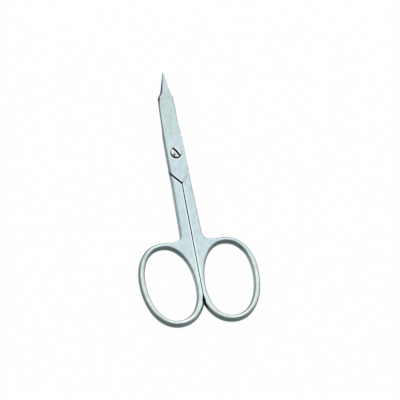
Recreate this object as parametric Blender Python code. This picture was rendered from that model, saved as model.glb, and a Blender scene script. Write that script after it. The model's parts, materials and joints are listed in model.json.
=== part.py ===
"""Nail scissors: two forged halves that cross at a slotted pivot screw, closed and lying flat."""
# Lengths are in metres. Z is up, Y runs from the finger bows to the tips, and each half is drawn
# around the pivot axis. The upper half carries the right-hand bow, the lower half the left-hand one.
import math

import bmesh
import bpy
from mathutils import Matrix, Vector

# Joint and shanks
BAR_THICKNESS = 0.0032
BLADE_GAP = 0.00012
PLATE_RELIEF = 0.00006
PLATE_CHAMFER = 0.0001
JOINT_HALF_WIDTH = 0.00305
SHOULDER_HALF_WIDTH = 0.00317
CROTCH_HALF_WIDTH = 0.00368
SHOULDER_Y = -0.0074
SHOULDER_ANGLE = math.radians(48)
SHOULDER_GAP = 0.0005
SEAM_GAP_AT_JOINT = 0.00026
SEAM_GAP_AT_BOWS = 0.00016
PLATE_OVERLAP = 0.0014
PLATE_INSET = 0.0003
SHANK_ROUND = 0.0006
SEAM_ROUND = 0.00014
SHOULDER_ROUND = 0.0002
CROTCH_RADIUS = 0.0027

# Blades, which curve upwards and are ground thinner beyond the grind line
BLADE_LENGTH = 0.0276
GRIND_LINE_Y = 0.0064
GRIND_STEP = 0.00009
GRIND_STEP_LENGTH = 0.0001
BEVEL_RUN = 0.0045
CURVE_START_Y = 0.0080
CURVE_RADIUS = 0.0500
KINK_THICKNESS = 0.0012
TIP_THICKNESS = 0.0004
EDGE_THICKNESS = 0.00014
FLANK_DROP = 0.0003
BEVEL_WIDTH = 0.0004
EDGE_SETBACK = 0.00004
HOLLOW_DEPTH = 0.0001
BACK_ROUND = 0.0004
TIP_HALF_WIDTH = 0.00009

# Tower point: the flanks step in at the kink, run straight from the neck to the tip, and have
# facets along the backs. A flank is its inset at the kink, then its half width at the neck.
KINK_Y = 0.0197
KINK_HALF_WIDTH = 0.00274
NECK_Y = 0.0221
TURN_IN_Y = 0.0162
LEFT_FLANK = (0, 0.00142)
RIGHT_FLANK = (0.00026, 0.00160)
FACET_WIDTH = 0.00055
FACET_SHARE = 0.16
FACET_DEPTH_SHARE = 0.8
FACET_RUN = 0.0030

# Finger bows
HOLE_WIDTH = 0.01664
HOLE_LENGTH = 0.0256
HOLE_SQUARENESS = 2.15
BOW_DROP = 0.0459
BOW_LEAN = math.radians(4.8)
SEAM_BAND = 0.0016
BOW_WIDTH_OUTSIDE = 0.00212
BOW_WIDTH_INSIDE = 0.00265
BOW_THIN_ANGLE = math.radians(20)
BOW_THIN_REACH = 5
BOW_ROUND = 0.00096
BOW_ROUND_HEIGHT = 0.0012
BOW_BLEND_LENGTH = 0.004
WEB_SLOPE = math.radians(4)

# How far the edges of shanks and bows lean from a quarter round, 1, towards a flat bevel, 2
EDGE_FLATNESS = 1.5

# Pivot screw
HEAD_DIAMETER = 0.0038
HEAD_RISE = 0.00095
HEAD_CROWN = 0.00015
HEAD_EDGE_ROUND = 0.0004
RECESS_DEPTH = 0.00045
RECESS_CLEARANCE = 0.00018
NECK_DIAMETER = 0.0027
THREAD_DIAMETER = 0.0023
RUNNING_CLEARANCE = 0.00006
SEAT_CLEARANCE = 0.00004
SCREW_END_INSET = 0.00012
SCREW_END_CHAMFER = 0.0002
SLOT_WIDTH = 0.0007
SLOT_DEPTH = 0.0007
SLOT_ANGLE = math.radians(-57.4)

# Fineness of the curved surfaces
BOW_STEPS = 88
WEB_STEPS = 8
CROTCH_STEPS = 10
ROUND_STEPS = 5
SEAM_STEPS = 6
INNER_FACE_STEPS = 4
BLADE_STEP = 0.0012
TOWER_STEP = 0.0004
SCREW_STEPS = 64
SEARCH_STEPS = 40
SMOOTH_ANGLE = math.radians(32)
CUT_OVERRUN = 0.001

# Heights that several pieces share
MID_HEIGHT = BAR_THICKNESS / 2
PLATE_THICKNESS = MID_HEIGHT - BLADE_GAP / 2 - PLATE_RELIEF
PLATE_TOP = BAR_THICKNESS - PLATE_RELIEF
RECESS_FLOOR = PLATE_TOP - RECESS_DEPTH
SHOULDER_OFFSET = SHOULDER_GAP / 2 / math.cos(SHOULDER_ANGLE)


def clear_scene():
    """Remove whatever the open file holds."""
    for obj in list(bpy.data.objects):
        bpy.data.objects.remove(obj, do_unlink=True)


def blend(start, end, share):
    """The value a share of the way from start to end, held at both ends."""
    return start + (end - start) * min(max(share, 0), 1)


def eased(share):
    """A share between 0 and 1, made to start and stop gently."""
    held = min(max(share, 0), 1)
    return held * held * (3 - 2 * held)


def crossing(measure, low, high):
    """Where measure changes sign between low and high, by halving the span."""
    low_is_positive = measure(low) > 0
    for _ in range(SEARCH_STEPS):
        middle = (low + high) / 2
        if (measure(middle) > 0) == low_is_positive:
            low = middle
        else:
            high = middle
    return (low + high) / 2


# The blade and its joint plate

def blade_rise(y):
    """Height that the curved blade has gained at y."""
    run = max(y - CURVE_START_Y, 0)
    return CURVE_RADIUS - math.sqrt(CURVE_RADIUS ** 2 - run ** 2)


def half_width(y, flank):
    """Distance from the axis to one flank of the closed pair: one blade's back, the other's edge."""
    kink_inset, neck = flank
    if y <= 0:
        return blend(JOINT_HALF_WIDTH, SHOULDER_HALF_WIDTH - PLATE_RELIEF, y / SHOULDER_Y)
    if y <= KINK_Y:
        inset = kink_inset * eased((y - TURN_IN_Y) / (KINK_Y - TURN_IN_Y))
        return blend(JOINT_HALF_WIDTH, KINK_HALF_WIDTH, y / KINK_Y) - inset
    slope = (neck - TIP_HALF_WIDTH) / (BLADE_LENGTH - NECK_Y)
    if y >= NECK_Y:
        return neck - slope * (y - NECK_Y)
    share = (y - KINK_Y) / (NECK_Y - KINK_Y)
    bend = neck + slope * (NECK_Y - KINK_Y) / 2
    from_kink = (1 - share) ** 2 * (KINK_HALF_WIDTH - kink_inset)
    return from_kink + 2 * share * (1 - share) * bend + share ** 2 * neck


def shoulder_line_y(x, offset):
    """Height along Y of the slanting shoulder line at x, with the line moved by offset."""
    return SHOULDER_Y + offset - (SHOULDER_HALF_WIDTH - x) * math.tan(SHOULDER_ANGLE)


def shoulder_line_x(y, offset):
    """The same line, read the other way."""
    return SHOULDER_HALF_WIDTH - (SHOULDER_Y + offset - y) / math.tan(SHOULDER_ANGLE)


def grind_share(y):
    """How far the bevel and the hollow have developed beyond the grind line."""
    return eased((y - GRIND_LINE_Y) / BEVEL_RUN)


def facet_share(y):
    """How far the rounding along the back has turned into a flat facet, all of it at the kink."""
    return eased((y - KINK_Y + FACET_RUN) / FACET_RUN)


def back_edge(y, flank):
    """Distance from the axis to the plate's back edge, which slants to the seam at the shoulder."""
    furthest = -(SEAM_GAP_AT_JOINT / 2 + SHOULDER_ROUND)
    return max(min(half_width(y, flank), shoulder_line_x(y, SHOULDER_OFFSET)), furthest)


def front_edge(y, flank):
    """Distance from the axis to the cutting edge, and below it to the plate's front edge."""
    setback = EDGE_SETBACK * grind_share(y) * half_width(y, flank) / KINK_HALF_WIDTH
    return half_width(y, flank) - setback - blend(0, PLATE_INSET, (SHOULDER_Y - y) / PLATE_OVERLAP)


def blade_thickness(y):
    """Thickness at the back: the whole plate, then a ground blade that thins towards the tip."""
    if y <= GRIND_LINE_Y:
        return PLATE_THICKNESS
    if y >= KINK_Y:
        return blend(KINK_THICKNESS, TIP_THICKNESS, (y - KINK_Y) / (BLADE_LENGTH - KINK_Y))
    step = blend(0, GRIND_STEP, (y - GRIND_LINE_Y) / GRIND_STEP_LENGTH)
    taper = (y - GRIND_LINE_Y) / (KINK_Y - GRIND_LINE_Y)
    return blend(PLATE_THICKNESS, KINK_THICKNESS + GRIND_STEP, taper) - step


def blade_section(y, side, up):
    """Loop around the blade at y. side puts the cutting edge on +X or -X, up is 1 or -1."""
    back_flank, edge_flank = (LEFT_FLANK, RIGHT_FLANK)[::side]
    back, front = -back_edge(y, back_flank), front_edge(y, edge_flank)
    width, thick, ground = front - back, blade_thickness(y), grind_share(y)
    narrowing = min(width / (2 * KINK_HALF_WIDTH), 1)
    hollow = HOLLOW_DEPTH * ground * narrowing
    bevel = blend(PLATE_CHAMFER, BEVEL_WIDTH * narrowing, ground)
    edge = blend(thick - PLATE_CHAMFER, EDGE_THICKNESS, ground)
    drop = FLANK_DROP * ground * narrowing
    facet = facet_share(y)
    across = min(blend(BACK_ROUND, FACET_WIDTH, facet), width * FACET_SHARE)
    down = min(blend(BACK_ROUND, thick, facet), thick * FACET_DEPTH_SHARE)
    loop = []
    for index in range(INNER_FACE_STEPS + 1):
        share = index / INNER_FACE_STEPS
        loop.append((back + width * share, hollow * 4 * share * (1 - share)))
    loop.append((front, edge))
    loop.append((front - bevel, thick - drop))
    for index in range(ROUND_STEPS + 1):
        share = index / ROUND_STEPS
        angle = math.pi / 2 * share
        inset = blend(1 - math.sin(angle), 1 - share, facet)
        depth = blend(1 - math.cos(angle), share, facet)
        loop.append((back + across * inset, thick - down * depth))
    inner_face = MID_HEIGHT + blade_rise(y) + up * BLADE_GAP / 2
    return [Vector((side * x, y, inner_face + up * height)) for x, height in loop]


def blade_stations():
    """The places along Y where the blade's section is drawn."""
    foot = shoulder_line_y(-SEAM_GAP_AT_JOINT / 2 - SHOULDER_ROUND, SHOULDER_OFFSET)
    stops = [(foot - PLATE_OVERLAP, BLADE_LENGTH), (foot, BLADE_LENGTH)]
    stops += [(SHOULDER_Y + SHOULDER_OFFSET, BLADE_LENGTH), (0, BLADE_LENGTH)]
    stops += [(GRIND_LINE_Y, BLADE_LENGTH), (GRIND_LINE_Y + GRIND_STEP_LENGTH, BLADE_STEP)]
    stops += [(KINK_Y, TOWER_STEP), (NECK_Y, BLADE_STEP), (BLADE_LENGTH, BLADE_STEP)]
    places = []
    for (low, longest), (high, _) in zip(stops, stops[1:]):
        count = math.ceil((high - low) / longest)
        places += [low + (high - low) * index / count for index in range(count)]
    return places + [BLADE_LENGTH]


# The shank and finger bow, drawn for the right-hand side

def seam_x(y):
    """Distance from the axis to the flat where the two shanks meet."""
    share = (SHOULDER_Y - y) / (SHOULDER_Y + BOW_DROP)
    return blend(SEAM_GAP_AT_JOINT, SEAM_GAP_AT_BOWS, share) / 2


def hole_shape(angle):
    """Point and outward direction on the finger hole, around its own centre."""
    power = 2 / HOLE_SQUARENESS
    cosine, sine = math.cos(angle), math.sin(angle)
    x = HOLE_WIDTH / 2 * math.copysign(abs(cosine) ** power, cosine)
    y = HOLE_LENGTH / 2 * math.copysign(abs(sine) ** power, sine)
    back_power = 2 - power
    across = math.copysign(abs(cosine) ** back_power, cosine) / HOLE_WIDTH
    along = math.copysign(abs(sine) ** back_power, sine) / HOLE_LENGTH
    lean = Matrix.Rotation(-BOW_LEAN, 2)
    return lean @ Vector((x, y)), (lean @ Vector((across, along))).normalized()


def bow_angles(start, end, steps):
    """Evenly spread angles from start to end."""
    return [start + (end - start) * index / steps for index in range(steps + 1)]


def bow_centre():
    """Centre of the finger hole, set so that the band beside the seam keeps its width."""
    reach = max(-hole_shape(angle)[0].x for angle in bow_angles(0, 2 * math.pi, BOW_STEPS))
    return Vector((seam_x(-BOW_DROP) + SEAM_BAND + reach, -BOW_DROP))


def bow_width(angle):
    """Width of the bow's metal, even round the outer side and thicker towards the seam."""
    share = (1 - math.cos(angle - BOW_THIN_ANGLE)) / 2
    return blend(BOW_WIDTH_OUTSIDE, BOW_WIDTH_INSIDE, share ** BOW_THIN_REACH)


def bow_outside(angle):
    """Point on the bow's outer edge."""
    point, outward = hole_shape(angle)
    return bow_centre() + point + outward * bow_width(angle)


def shank_edge():
    """Foot of the shank's straight outer edge, and the direction up along it."""
    foot_y = HOLE_LENGTH / 2 + BOW_WIDTH_INSIDE - BOW_DROP
    foot = Vector((CROTCH_HALF_WIDTH, foot_y))
    top = Vector((SHOULDER_HALF_WIDTH, SHOULDER_Y - SHOULDER_OFFSET))
    return foot, (top - foot).normalized(), top


def handle_outline():
    """The handle's outer loop, anticlockwise, each point with its edge rounding across and down."""
    foot, upward, top = shank_edge()
    out = Vector((upward.y, -upward.x))
    leave = crossing(lambda a: bow_outside(a).x - seam_x(bow_outside(a).y), math.pi, 1.5 * math.pi)
    web_out = Vector((-math.sin(WEB_SLOPE), math.cos(WEB_SLOPE)))
    join = crossing(lambda a: hole_shape(a)[1].cross(web_out), 2.25 * math.pi, 2.75 * math.pi)
    shank, seam = (SHANK_ROUND, SHANK_ROUND), (SEAM_ROUND, SEAM_ROUND)
    corner, bow = (SHOULDER_ROUND, SHOULDER_ROUND), (BOW_ROUND, BOW_ROUND_HEIGHT)
    seam_top_x = SEAM_GAP_AT_JOINT / 2
    seam_top = Vector((seam_top_x, shoulder_line_y(seam_top_x, -SHOULDER_OFFSET)))
    leave_point = bow_outside(leave)
    points = [(seam_top, corner), (seam_top - Vector((0, SHANK_ROUND)), seam)]
    for index in range(SEAM_STEPS):
        share = index / SEAM_STEPS
        y = leave_point.y + BOW_BLEND_LENGTH * (1 - share)
        rounding = tuple(blend(start, end, eased(share)) for start, end in zip(seam, bow))
        points.append((Vector((seam_x(y), y)), rounding))
    for angle in bow_angles(leave, join, BOW_STEPS):
        points.append((bow_outside(angle), bow))
    web_start = bow_outside(join)
    centre = foot + out * CROTCH_RADIUS
    centre += upward * ((CROTCH_RADIUS - (centre - web_start).dot(web_out)) / upward.dot(web_out))
    arm = web_out * -CROTCH_RADIUS
    sweep = arm.angle_signed(-out)
    for index in range(1, WEB_STEPS):
        share = index / WEB_STEPS
        rounding = tuple(blend(start, end, eased(share)) for start, end in zip(bow, shank))
        points.append((web_start.lerp(centre + arm, share), rounding))
    for index in range(CROTCH_STEPS + 1):
        turn = Matrix.Rotation(-sweep * index / CROTCH_STEPS, 2)
        points.append((centre + turn @ arm, shank))
    points.append((top - upward * SHANK_ROUND * 2, shank))
    points.append((top, corner))
    return points


def finger_hole():
    """The finger hole's loop, clockwise, so that its outward side faces into the hole."""
    rounding = (BOW_ROUND, BOW_ROUND_HEIGHT)
    angles = bow_angles(2 * math.pi, 0, BOW_STEPS)[:-1]
    return [(bow_centre() + hole_shape(angle)[0], rounding) for angle in angles]


def mitres(points):
    """Direction and length that move each corner outwards by one unit."""
    moves = []
    for index, point in enumerate(points):
        before = (point - points[index - 1]).normalized()
        after = (points[(index + 1) % len(points)] - point).normalized()
        first, second = Vector((before.y, -before.x)), Vector((after.y, -after.x))
        moves.append((first + second) / (1 + first.dot(second)))
    return moves


# Building the meshes

def mesh_object(name, mesh_data, pivot_y):
    """Wrap a bmesh in an object that stands on the pivot axis."""
    bmesh.ops.recalc_face_normals(mesh_data, faces=mesh_data.faces)
    mesh = bpy.data.meshes.new(name)
    mesh_data.to_mesh(mesh)
    mesh_data.free()
    mesh.shade_smooth()
    mesh.set_sharp_from_angle(angle=SMOOTH_ANGLE)
    obj = bpy.data.objects.new(name, mesh)
    obj.location = (0, pivot_y, 0)
    bpy.context.scene.collection.objects.link(obj)
    return obj


def bridge(mesh_data, lower, upper):
    """Join two loops of vertices with a band of faces."""
    for index, corner in enumerate(lower):
        after = (index + 1) % len(lower)
        mesh_data.faces.new((corner, lower[after], upper[after], upper[index]))


def rounded_wall(mesh_data, loop, side):
    """Raise a loop into a wall with rounded edges, and return its bottom and top vertices."""
    points = [Vector((side * point.x, point.y)) for point, _ in loop]
    roundings = [rounding for _, rounding in loop]
    if side < 0:
        points.reverse()
        roundings.reverse()
    moves = mitres(points)
    levels = []
    for face in (-1, 1):
        angles = [math.pi / 2 * index / ROUND_STEPS for index in range(ROUND_STEPS + 1)]
        for angle in angles if face > 0 else reversed(angles):
            ring = []
            inset, rise = 1 - math.cos(angle) ** EDGE_FLATNESS, math.sin(angle) ** EDGE_FLATNESS
            for point, move, (across, down) in zip(points, moves, roundings):
                spot = point - move * across * inset
                height = MID_HEIGHT + face * (MID_HEIGHT - down + down * rise)
                ring.append(mesh_data.verts.new((spot.x, spot.y, height)))
            levels.append(ring)
    for lower, upper in zip(levels, levels[1:]):
        bridge(mesh_data, lower, upper)
    return levels[0], levels[-1]


def handle(name, side, pivot_y):
    """Shank and finger bow as one slab with rounded edges, pierced by the finger hole."""
    mesh_data = bmesh.new()
    walls = [rounded_wall(mesh_data, loop, side) for loop in (handle_outline(), finger_hole())]
    for face in (0, 1):
        rims = [wall[face] for wall in walls]
        pairs = [(rim[index - 1], rim[index]) for rim in rims for index in range(len(rim))]
        edges = [mesh_data.edges.get(pair) for pair in pairs]
        bmesh.ops.triangle_fill(mesh_data, edges=edges, use_beauty=True, normal=(0, 0, 2 * face - 1))
    return mesh_object(name, mesh_data, pivot_y)


def blade(name, side, up, pivot_y):
    """Blade and joint plate, lofted through the sections along Y."""
    mesh_data = bmesh.new()
    rings = []
    for y in blade_stations():
        rings.append([mesh_data.verts.new(corner) for corner in blade_section(y, side, up)])
    for near, far in zip(rings, rings[1:]):
        bridge(mesh_data, near, far)
    mesh_data.faces.new(rings[0])
    mesh_data.faces.new(rings[-1])
    return mesh_object(name, mesh_data, pivot_y)


def turned(name, profile, pivot_y):
    """Solid of revolution about the pivot axis, from a profile of radius and height."""
    mesh_data = bmesh.new()
    rings = []
    for radius, height in profile:
        ring = []
        for index in range(SCREW_STEPS):
            angle = 2 * math.pi * index / SCREW_STEPS
            ring.append(mesh_data.verts.new((radius * math.cos(angle), radius * math.sin(angle), height)))
        rings.append(ring)
    for lower, upper in zip(rings, rings[1:]):
        bridge(mesh_data, lower, upper)
    mesh_data.faces.new(rings[0])
    mesh_data.faces.new(rings[-1])
    return mesh_object(name, mesh_data, pivot_y)


def as_guide(obj):
    """Mark an object as a construction guide that isn't part of the scissors."""
    obj.hide_render = True
    obj.display_type = "WIRE"
    return obj


def combine(obj, guide, operation):
    """Add or cut a guide with a Boolean modifier."""
    modifier = obj.modifiers.new(guide.name, "BOOLEAN")
    modifier.operation = operation
    modifier.solver = "EXACT"
    modifier.object = as_guide(guide)


def steel(name, color, roughness):
    """Bare steel with the given colour and roughness."""
    material = bpy.data.materials.new(name)
    material.use_nodes = True
    shader = material.node_tree.nodes["Principled BSDF"]
    shader.inputs["Base Color"].default_value = color
    shader.inputs["Metallic"].default_value = 1
    shader.inputs["Roughness"].default_value = roughness
    material.diffuse_color = color
    return material


# The three pieces

def upper_half(pivot_y):
    """Top blade with the right-hand shank and bow, bored for the screw's neck and head."""
    half = handle("upper_half", 1, pivot_y)
    combine(half, blade("upper_blade_shape", 1, 1, pivot_y), "UNION")
    top = BAR_THICKNESS + CUT_OVERRUN
    neck = NECK_DIAMETER / 2 + RUNNING_CLEARANCE
    head = HEAD_DIAMETER / 2 + RECESS_CLEARANCE
    seat = [(neck, -CUT_OVERRUN), (neck, RECESS_FLOOR), (head, RECESS_FLOOR), (head, top)]
    combine(half, turned("screw_seat", seat, pivot_y), "DIFFERENCE")
    half.data.materials.append(steel("upper_half_steel", (0.60, 0.72, 0.76, 1), 0.42))


def lower_half(pivot_y):
    """Bottom blade with the left-hand shank and bow, and the screw's threaded hole."""
    half = handle("lower_half", -1, pivot_y)
    combine(half, blade("lower_blade_shape", -1, -1, pivot_y), "UNION")
    thread = THREAD_DIAMETER / 2 + RUNNING_CLEARANCE
    tapping = [(thread, -CUT_OVERRUN), (thread, BAR_THICKNESS)]
    combine(half, turned("thread_hole", tapping, pivot_y), "DIFFERENCE")
    half.data.materials.append(steel("lower_half_steel", (0.60, 0.72, 0.76, 1), 0.42))


def screw_profile():
    """The screw's outline from its end to the crown of its head."""
    end, thread, head = PLATE_RELIEF + SCREW_END_INSET, THREAD_DIAMETER / 2, HEAD_DIAMETER / 2
    thread_top = MID_HEIGHT - BLADE_GAP / 2 + SEAT_CLEARANCE
    head_bottom = RECESS_FLOOR + SEAT_CLEARANCE
    rim = PLATE_TOP + HEAD_RISE - HEAD_CROWN
    profile = [(thread - SCREW_END_CHAMFER, end), (thread, end + SCREW_END_CHAMFER)]
    profile += [(thread, thread_top), (NECK_DIAMETER / 2, thread_top)]
    profile += [(NECK_DIAMETER / 2, head_bottom), (head, head_bottom)]
    for index in range(ROUND_STEPS + 1):
        angle = math.pi / 2 * index / ROUND_STEPS
        across = head - HEAD_EDGE_ROUND * (1 - math.cos(angle))
        profile.append((across, rim - HEAD_EDGE_ROUND * (1 - math.sin(angle))))
    for index in range(1, ROUND_STEPS + 1):
        share = index / (ROUND_STEPS + 1)
        profile.append(((head - HEAD_EDGE_ROUND) * (1 - share), rim + HEAD_CROWN * (1 - (1 - share) ** 2)))
    return profile


def pivot_screw(pivot_y):
    """Turned screw with a plain neck, a low crowned head and a driver slot."""
    screw = turned("pivot_screw", screw_profile(), pivot_y)
    top = PLATE_TOP + HEAD_RISE
    mesh_data = bmesh.new()
    bmesh.ops.create_cube(mesh_data, size=1)
    size = Vector((HEAD_DIAMETER + CUT_OVERRUN, SLOT_WIDTH, SLOT_DEPTH + CUT_OVERRUN))
    for corner in mesh_data.verts:
        corner.co = Vector((corner.co.x * size.x, corner.co.y * size.y, corner.co.z * size.z))
        corner.co.z += top - SLOT_DEPTH + size.z / 2
    slot = mesh_object("driver_slot", mesh_data, pivot_y)
    slot.rotation_euler.z = SLOT_ANGLE
    combine(screw, slot, "DIFFERENCE")
    screw.data.materials.append(steel("screw_steel", (0.75, 0.78, 0.78, 1), 0.2))


def main():
    """Build the closed scissors with the origin under the middle of their box."""
    clear_scene()
    bow_end = min(point.y for point, _ in handle_outline())
    pivot_y = -(BLADE_LENGTH + bow_end) / 2
    lower_half(pivot_y)
    upper_half(pivot_y)
    pivot_screw(pivot_y)


main()
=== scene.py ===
# %% [markdown]
# # Nail scissors on a pale table
# This lesson dresses a imported CAD model of curved nail scissors for a studio picture. The real
# scissors are two steel forgings and one screw. Their look comes from how the steel was worked: flat
# faces ground to an even satin, duller side walls, bows rounded by hand on a belt, and a polished screw
# head. On top of that, the side walls and slits are painted darker as painted shade, and some edges and
# walls carry painted light. The CAD solids give the sizes and the motion. Here each of them gets a finer
# twin with the same shape, and then its finish.

import json
import math

import bmesh
import bpy
from mathutils import Matrix, Vector


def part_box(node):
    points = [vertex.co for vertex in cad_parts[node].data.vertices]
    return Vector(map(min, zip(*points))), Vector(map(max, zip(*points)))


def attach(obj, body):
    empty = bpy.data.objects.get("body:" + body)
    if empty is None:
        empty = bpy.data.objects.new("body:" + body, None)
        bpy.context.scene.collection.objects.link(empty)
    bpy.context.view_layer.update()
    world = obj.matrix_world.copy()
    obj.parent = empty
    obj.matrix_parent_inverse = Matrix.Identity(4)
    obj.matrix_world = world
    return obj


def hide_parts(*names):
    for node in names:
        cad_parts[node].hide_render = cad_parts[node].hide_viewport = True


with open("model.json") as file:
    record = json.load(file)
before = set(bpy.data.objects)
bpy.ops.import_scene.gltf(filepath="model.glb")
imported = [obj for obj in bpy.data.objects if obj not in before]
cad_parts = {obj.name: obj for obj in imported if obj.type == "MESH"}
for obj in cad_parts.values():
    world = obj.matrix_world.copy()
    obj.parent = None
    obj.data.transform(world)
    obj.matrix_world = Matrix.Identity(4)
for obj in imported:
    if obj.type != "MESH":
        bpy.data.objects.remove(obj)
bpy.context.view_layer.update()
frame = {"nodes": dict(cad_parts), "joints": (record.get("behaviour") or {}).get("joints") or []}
pivot = Vector(frame["joints"][0]["pos_m"])
MILLIMETRE = 0.001


def in_mm(length):
    """A length in metres as millimetres, rounded for printing."""
    return round(length / MILLIMETRE, 2)


print("CAD nodes:", sorted(frame["nodes"]))

# %% [markdown]
# ## The camera
# The photograph looks down on the scissors from the side of the lower half's bow, 23 degrees off the
# vertical, and from so far away that near and far parts have one scale. An orthographic camera gives
# just that. The direction is two angles, the tilt from the vertical and the side that it tilts to, and
# the roll turns the picture. It could also be aimed with a Track To constraint, but three angles say
# exactly where it stands and keep it fixed.

# %% Camera
CAMERA_TILT = math.radians(23.28)
CAMERA_SIDE = math.radians(233.1)
CAMERA_ROLL = math.radians(-10.84)
CAMERA_DISTANCE = 0.6
CAMERA_SEES_FROM = 0.006
PICTURE_PIXELS = 400
PIXELS_PER_METRE = 3000
AIM_RIGHT_OF_PIVOT = 0.0054
AIM_BELOW_PIVOT = 0.01699


def towards(side, tilt):
    """Direction that leans from the vertical by tilt, to the side at that angle from +X."""
    level = math.sin(tilt)
    return Vector((level * math.cos(side), level * math.sin(side), math.cos(tilt)))


def add_camera():
    """Camera with the photograph's view, turned by its roll."""
    back = towards(CAMERA_SIDE, CAMERA_TILT)
    unrolled_right = Vector((0, 1, 0)).cross(back).normalized()
    unrolled_up = back.cross(unrolled_right)
    right = unrolled_right * math.cos(CAMERA_ROLL) + unrolled_up * math.sin(CAMERA_ROLL)
    up = back.cross(right)
    aim = pivot + Vector((AIM_RIGHT_OF_PIVOT, -AIM_BELOW_PIVOT, 0))
    data = bpy.data.cameras.new("photograph_view")
    data.type = "ORTHO"
    data.ortho_scale = PICTURE_PIXELS / PIXELS_PER_METRE
    data.clip_start = CAMERA_SEES_FROM
    camera = bpy.data.objects.new("photograph_view", data)
    turn = Matrix((right, up, back)).transposed().to_4x4()
    camera.matrix_world = Matrix.Translation(aim + back * CAMERA_DISTANCE) @ turn
    bpy.context.scene.collection.objects.link(camera)
    bpy.context.scene.camera = camera
    return camera


print("picture width in mm:", in_mm(add_camera().data.ortho_scale))

# %% [markdown]
# ## Sizes of the two halves
# Both halves come from one drawing, which is mirrored in X, and turned upside down for the blade. The
# sizes below are the same as in the CAD source, in metres. The points could be read from the packed
# solids, but named sizes show how the drawing hangs together. Lengths along Y start at the pivot, so
# the tip is at about +28 mm and the bows lie below zero.

# %% Driving sizes
BAR_THICKNESS = 0.0032
BLADE_GAP = 0.00012
PLATE_RELIEF = 0.00006
PLATE_CHAMFER = 0.0001
JOINT_HALF_WIDTH = 0.00305
SHOULDER_HALF_WIDTH = 0.00317
CROTCH_HALF_WIDTH = 0.00368
SHOULDER_Y = -0.0074
SHOULDER_ANGLE = math.radians(48)
SHOULDER_GAP = 0.0005
SEAM_GAP_AT_JOINT = 0.00026
SEAM_GAP_AT_BOWS = 0.00016
PLATE_OVERLAP = 0.0014
PLATE_INSET = 0.0003
SHANK_ROUND = 0.0006
SEAM_ROUND = 0.00014
SHOULDER_ROUND = 0.0002
CROTCH_RADIUS = 0.0027

MID_HEIGHT = BAR_THICKNESS / 2
PLATE_THICKNESS = MID_HEIGHT - BLADE_GAP / 2 - PLATE_RELIEF
PLATE_TOP = BAR_THICKNESS - PLATE_RELIEF
SHOULDER_OFFSET = SHOULDER_GAP / 2 / math.cos(SHOULDER_ANGLE)


def blend(start, end, share):
    """The value a share of the way from start to end, held at both ends."""
    return start + (end - start) * min(max(share, 0), 1)


def eased(share):
    """A share between 0 and 1, made to start and stop gently."""
    held = min(max(share, 0), 1)
    return held * held * (3 - 2 * held)


def spread(start, end, steps):
    """Evenly spread values from start to end, both included."""
    return [start + (end - start) * index / steps for index in range(steps + 1)]


print("plate thickness in mm:", in_mm(PLATE_THICKNESS))

# %% [markdown]
# ## The blade
# A nail scissor blade is ground, not cast: a flat joint plate runs into a tapering blade that curves
# upwards, hollow on its inner side, bevelled along its cutting edge, and drawn in at the end to a
# tower point. It could be a cube pushed about with subdivision, but then every edge would be soft.
# A loft keeps the ground edges crisp: one closed section is worked out at many places along Y, and
# neighbouring sections are joined with faces.

# %% Blade shape along its length
BLADE_LENGTH = 0.0276
GRIND_LINE_Y = 0.0064
GRIND_STEP = 0.00009
GRIND_STEP_LENGTH = 0.0001
BEVEL_RUN = 0.0045
CURVE_START_Y = 0.0080
CURVE_RADIUS = 0.0500
KINK_THICKNESS = 0.0012
TIP_THICKNESS = 0.0004
KINK_Y = 0.0197
KINK_HALF_WIDTH = 0.00274
NECK_Y = 0.0221
TIP_HALF_WIDTH = 0.00009
TURN_IN_Y = 0.0162
LEFT_FLANK = (0, 0.00142)
RIGHT_FLANK = (0.00026, 0.00160)
FACET_RUN = 0.0030


def blade_rise(y):
    """Height that the curved blade has gained at y."""
    run = max(y - CURVE_START_Y, 0)
    return CURVE_RADIUS - math.sqrt(CURVE_RADIUS ** 2 - run ** 2)


def half_width(y, flank):
    """Distance from the axis to one flank of the closed pair, given its inset and neck half width."""
    kink_inset, neck = flank
    if y <= 0:
        return blend(JOINT_HALF_WIDTH, SHOULDER_HALF_WIDTH - PLATE_RELIEF, y / SHOULDER_Y)
    if y <= KINK_Y:
        inset = kink_inset * eased((y - TURN_IN_Y) / (KINK_Y - TURN_IN_Y))
        return blend(JOINT_HALF_WIDTH, KINK_HALF_WIDTH, y / KINK_Y) - inset
    slope = (neck - TIP_HALF_WIDTH) / (BLADE_LENGTH - NECK_Y)
    if y >= NECK_Y:
        return neck - slope * (y - NECK_Y)
    share = (y - KINK_Y) / (NECK_Y - KINK_Y)
    bend = neck + slope * (NECK_Y - KINK_Y) / 2
    from_kink = (1 - share) ** 2 * (KINK_HALF_WIDTH - kink_inset)
    return from_kink + 2 * share * (1 - share) * bend + share ** 2 * neck


def blade_thickness(y):
    """Thickness at the back: the whole plate, then a ground blade that thins towards the tip."""
    if y <= GRIND_LINE_Y:
        return PLATE_THICKNESS
    if y >= KINK_Y:
        return blend(KINK_THICKNESS, TIP_THICKNESS, (y - KINK_Y) / (BLADE_LENGTH - KINK_Y))
    step = blend(0, GRIND_STEP, (y - GRIND_LINE_Y) / GRIND_STEP_LENGTH)
    taper = (y - GRIND_LINE_Y) / (KINK_Y - GRIND_LINE_Y)
    return blend(PLATE_THICKNESS, KINK_THICKNESS + GRIND_STEP, taper) - step


def grind_share(y):
    """How far the bevel and the hollow have developed beyond the grind line."""
    return eased((y - GRIND_LINE_Y) / BEVEL_RUN)


def facet_share(y):
    """How far the rounding along the back has turned into a flat facet, all of it at the kink."""
    return eased((y - KINK_Y + FACET_RUN) / FACET_RUN)


def shoulder_line_y(x, offset):
    """Place along Y of the slanting shoulder line at x, with the line moved by offset."""
    return SHOULDER_Y + offset - (SHOULDER_HALF_WIDTH - x) * math.tan(SHOULDER_ANGLE)


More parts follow.
